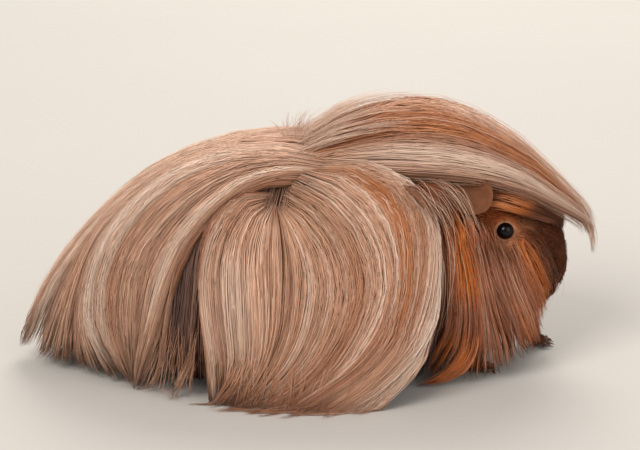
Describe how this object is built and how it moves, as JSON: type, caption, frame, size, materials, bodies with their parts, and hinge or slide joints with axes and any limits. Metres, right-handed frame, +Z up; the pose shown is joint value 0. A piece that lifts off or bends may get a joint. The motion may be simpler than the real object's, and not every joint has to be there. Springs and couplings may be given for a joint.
{
  "type": "longhaired guinea pig",
  "caption": "Life-size longhaired guinea pig crouching still, forelock swept forward over the brow, side coat and train falling from a parting on the back to the floor.",
  "frame": {"origin": "on the floor, under the middle of the whole animal with its coat", "axes": "+X towards the nose, +Y to the animal's left, +Z up"},
  "size_m": [0.2994, 0.1606, 0.1413],
  "materials": {
    "body_fur": "dense soft undercoat",
    "face_fur": "short flat fur, umber with ginger patches",
    "eye": "wet gloss, near black",
    "ear_skin": "thin soft skin with sparse down",
    "leg_fur": "short flat fur, dark umber",
    "long_coat": "long straight silky hair, fawn with cream and ginger streaks",
    "cheek_hair": "long fine hair, russet"
  },
  "bodies": {
    "root": {"trunk": "body_fur", "neck": "body_fur", "head": "face_fur", "eye_left": "eye", "eye_right": "eye", "ear_left": "ear_skin", "ear_right": "ear_skin", "foreleg_left": "leg_fur", "foreleg_right": "leg_fur", "hindleg_left": "leg_fur", "hindleg_right": "leg_fur", "forelock": "long_coat", "sweep_left": "long_coat", "sweep_right": "long_coat", "train": "long_coat", "cheek_hair_left": "cheek_hair", "cheek_hair_right": "cheek_hair"}
  },
  "joints": []
}
